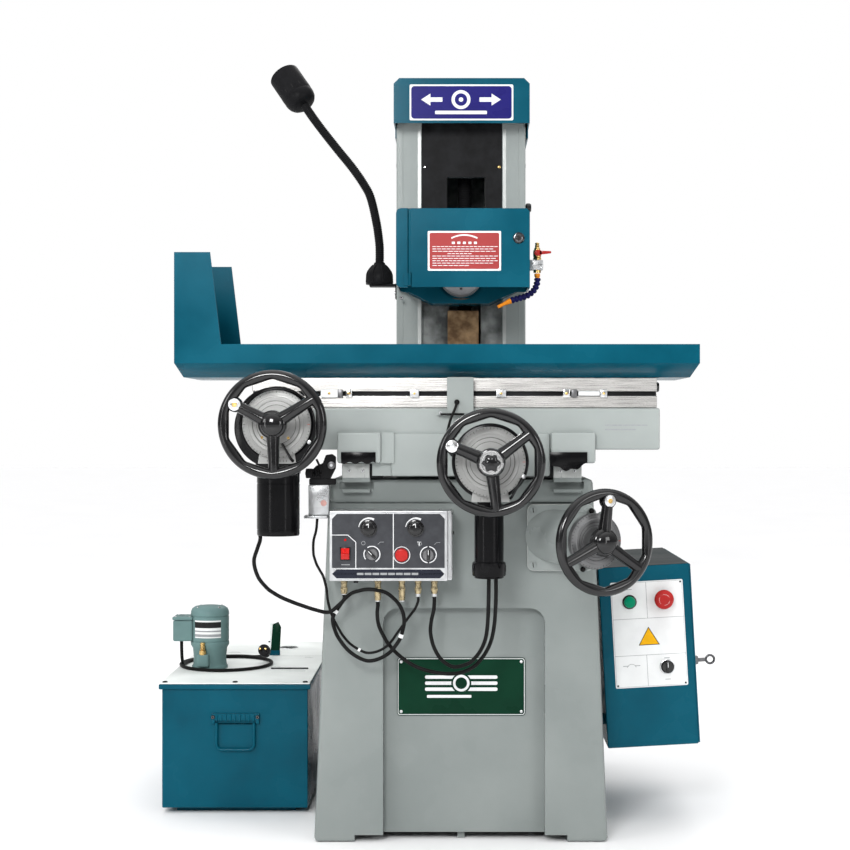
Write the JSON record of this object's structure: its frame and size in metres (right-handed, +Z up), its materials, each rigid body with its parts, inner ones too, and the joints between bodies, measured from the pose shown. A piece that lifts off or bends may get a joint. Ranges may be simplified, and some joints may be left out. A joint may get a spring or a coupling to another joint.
{
  "type": "surface grinder",
  "caption": "Manual surface grinder on a cast base: sliding table with splash tray, column, wheel head with guard, three handwheels, controls, cabinet, lamp and coolant tank.",
  "frame": {"origin": "on the floor, under the front face of the column and midway between the sides of the base casting", "axes": "+X to the operator's right along the table's travel, +Y away from the operator along the cross travel, +Z up the column"},
  "size_m": [1.1722, 1.2473, 1.6464],
  "materials": {
    "casting_grey": "satin grey-green enamel on cast iron",
    "teal_enamel": "gloss teal enamel",
    "black_gloss": "gloss black bakelite",
    "black_enamel": "gloss black enamel",
    "matt_black": "matt black",
    "ground_steel": "ground steel",
    "satin_dial": "satin chrome with engraved graduations",
    "chrome": "polished chrome",
    "dark_panel": "printed dark film",
    "silver_paint": "silver hammered paint",
    "white_enamel": "white enamel",
    "green_plate": "dark green enamelled plate",
    "red_plastic": "gloss red plastic",
    "green_plastic": "gloss green plastic",
    "brown_fibre": "brown fibre sheet",
    "brass": "brass",
    "blue_hose": "dark blue plastic segments",
    "pump_teal": "light teal enamel",
    "cable_rubber": "black rubber sheath"
  },
  "bodies": {
    "frame": {"base_casting": "casting_grey", "nameplate": "green_plate", "feed_cover_plate": "casting_grey", "elevating_gearbox": "casting_grey", "column_casting": "casting_grey", "column_cap": "teal_enamel", "way_cover": "matt_black", "screw_cover": "brown_fibre", "control_box_shell": "silver_paint", "control_panel": "dark_panel", "cabinet_shell": "teal_enamel", "tank_shell": "teal_enamel", "tank_lid": "white_enamel", "pump_motor": "pump_teal", "limit_switch": "casting_grey", "lamp_arm": "black_enamel", "lamp_head": "black_enamel", "left_motor_cable": "cable_rubber", "limit_switch_cable": "cable_rubber", "centre_cable_left": "cable_rubber", "centre_cable_right": "cable_rubber", "pump_cable": "cable_rubber", "pump_plug": "matt_black"},
    "right_wheel": {"right_handwheel": "black_gloss", "vertical_dial": "satin_dial"},
    "elevating_screw": {"elevating_screw": "ground_steel"},
    "head": {"head_casting": "teal_enamel", "guard_shell": "teal_enamel", "coolant_valve": "brass", "coolant_nozzle": "blue_hose"},
    "saddle": {"saddle_casting": "casting_grey", "left_drive_housing": "black_enamel", "centre_drive_housing": "black_enamel", "sensor_bracket": "casting_grey", "sensor_cable": "cable_rubber"},
    "left_wheel": {"left_handwheel": "black_gloss", "left_dial": "satin_dial"},
    "centre_wheel": {"centre_handwheel": "black_gloss", "centre_dial": "satin_dial"},
    "table": {"table_casting": "ground_steel", "splash_tray": "teal_enamel"},
    "star_knob": {"star_knob": "black_gloss"},
    "dog_left": {"dog_left": "chrome"},
    "dog_right": {"dog_right": "chrome"},
    "guard_door": {"guard_door": "teal_enamel"},
    "door_latch": {"door_latch": "chrome"},
    "spindle": {"spindle": "ground_steel"},
    "valve_lever": {"valve_lever": "red_plastic"},
    "left_speed_knob": {"left_speed_knob": "black_gloss"},
    "right_speed_knob": {"right_speed_knob": "black_gloss"},
    "left_selector": {"left_selector": "dark_panel"},
    "right_selector": {"right_selector": "dark_panel"},
    "stop_button": {"stop_button": "red_plastic"},
    "rocker_switch": {"rocker_switch": "red_plastic"},
    "green_button": {"green_button": "green_plastic"},
    "mushroom_button": {"mushroom_button": "red_plastic"},
    "cabinet_selector": {"cabinet_selector": "black_gloss"},
    "cabinet_door": {"cabinet_door": "teal_enamel"},
    "cabinet_key": {"cabinet_key": "chrome"},
    "tank_handle": {"tank_handle": "teal_enamel"}
  },
  "joints": [
    {"name": "left_handwheel_turn", "type": "hinge", "parent": "saddle", "child": "left_wheel", "pos_m": [-0.345, -0.65, 0.8235], "axis": [0, -1, 0], "range_deg": [-1294.5, 1294.5]},
    {"name": "centre_handwheel_turn", "type": "hinge", "parent": "saddle", "child": "centre_wheel", "pos_m": [0.055, -0.65, 0.7535], "axis": [0, -1, 0], "range_deg": [-6481, 6481]},
    {"name": "right_handwheel_turn", "type": "hinge", "parent": "frame", "child": "right_wheel", "pos_m": [0.266, -0.61, 0.605], "axis": [0.3907, -0.9205, 0], "range_deg": [-7202, 37802]},
    {"name": "cross_slide", "type": "slide", "parent": "frame", "child": "saddle", "axis": [0, 1, 0], "range_m": [-0.09, 0.09], "deforming": ["left_motor_cable", "centre_cable_left", "centre_cable_right"]},
    {"name": "table_slide", "type": "slide", "parent": "saddle", "child": "table", "axis": [1, 0, 0], "range_m": [-0.23, 0.23]},
    {"name": "head_slide", "type": "slide", "parent": "frame", "child": "head", "axis": [0, 0, 1], "range_m": [-0.04, 0.21]},
    {"name": "elevating_screw_turn", "type": "hinge", "parent": "frame", "child": "elevating_screw", "pos_m": [0.008, 0.08, 1.1], "axis": [0, 0, 1], "range_deg": [-18902, 3602]},
    {"name": "star_knob_turn", "type": "hinge", "parent": "centre_wheel", "child": "star_knob", "pos_m": [0.055, -0.65, 0.7535], "axis": [0, -1, 0], "range_deg": [-180, 180]},
    {"name": "guard_door_swing", "type": "hinge", "parent": "head", "child": "guard_door", "pos_m": [-0.102, -0.3715, 1.17], "axis": [0, 0, -1], "range_deg": [0, 100]},
    {"name": "door_latch_turn", "type": "hinge", "parent": "guard_door", "child": "door_latch", "pos_m": [0.1147, -0.37, 1.194], "axis": [0, -1, 0], "range_deg": [0, 90]},
    {"name": "spindle_spin", "type": "hinge", "parent": "head", "child": "spindle", "pos_m": [0, -0.3, 1.127], "axis": [0, -1, 0], "continuous": true},
    {"name": "valve_lever_turn", "type": "hinge", "parent": "head", "child": "valve_lever", "pos_m": [0.1545, -0.317, 1.17], "axis": [0, -1, 0], "range_deg": [0, 90]},
    {"name": "left_speed_knob_turn", "type": "hinge", "parent": "frame", "child": "left_speed_knob", "pos_m": [-0.1769, -0.4928, 0.6243], "axis": [0, -1, 0], "range_deg": [-150, 150]},
    {"name": "right_speed_knob_turn", "type": "hinge", "parent": "frame", "child": "right_speed_knob", "pos_m": [-0.0869, -0.4928, 0.6243], "axis": [0, -1, 0], "range_deg": [-150, 150]},
    {"name": "left_selector_turn", "type": "hinge", "parent": "frame", "child": "left_selector", "pos_m": [-0.1709, -0.4928, 0.5745], "axis": [0, -1, 0], "range_deg": [-90, 0]},
    {"name": "right_selector_turn", "type": "hinge", "parent": "frame", "child": "right_selector", "pos_m": [-0.0626, -0.4928, 0.5737], "axis": [0, -1, 0], "range_deg": [-45, 45]},
    {"name": "stop_button_press", "type": "slide", "parent": "frame", "child": "stop_button", "axis": [0, 1, 0], "range_m": [0, 0.0045], "stiffness_N_per_m": 200, "springref_m": -0.003},
    {"name": "rocker_switch_tilt", "type": "hinge", "parent": "frame", "child": "rocker_switch", "pos_m": [-0.2221, -0.4938, 0.5757], "axis": [1, 0, 0], "range_deg": [-4, 4]},
    {"name": "green_button_press", "type": "slide", "parent": "frame", "child": "green_button", "axis": [0, 1, 0], "range_m": [0, 0.0045], "stiffness_N_per_m": 200, "springref_m": -0.003},
    {"name": "mushroom_button_press", "type": "slide", "parent": "frame", "child": "mushroom_button", "axis": [0, 1, 0], "range_m": [0, 0.005]},
    {"name": "cabinet_selector_turn", "type": "hinge", "parent": "frame", "child": "cabinet_selector", "pos_m": [0.42463, -0.25, 0.32576], "axis": [0, -1, 0], "range_deg": [-90, 0]},
    {"name": "cabinet_door_swing", "type": "hinge", "parent": "frame", "child": "cabinet_door", "pos_m": [0.48269, 0.206, 0.35334], "axis": [-0.0558, 0, 0.9984], "range_deg": [0, 100]},
    {"name": "cabinet_key_turn", "type": "hinge", "parent": "cabinet_door", "child": "cabinet_key", "pos_m": [0.48025, -0.215, 0.33418], "axis": [0.9984, 0, 0.0558], "range_deg": [0, 90]},
    {"name": "tank_handle_swing", "type": "hinge", "parent": "frame", "child": "tank_handle", "pos_m": [-0.4778, -0.1455, 0.192], "axis": [-1, 0, 0], "range_deg": [0, 90]},
    {"name": "dog_left_slide", "type": "slide", "parent": "table", "child": "dog_left", "axis": [1, 0, 0], "range_m": [0, 0.1]},
    {"name": "dog_right_slide", "type": "slide", "parent": "table", "child": "dog_right", "axis": [1, 0, 0], "range_m": [-0.1, 0]}
  ],
  "couplings": [
    {"joint": "centre_handwheel_turn", "follows": "cross_slide", "rad_per_m": 1256.6},
    {"joint": "left_handwheel_turn", "follows": "table_slide", "rad_per_m": 98.175},
    {"joint": "right_handwheel_turn", "follows": "head_slide", "rad_per_m": 3141.6},
    {"joint": "elevating_screw_turn", "follows": "head_slide", "rad_per_m": -1570.8}
  ]
}
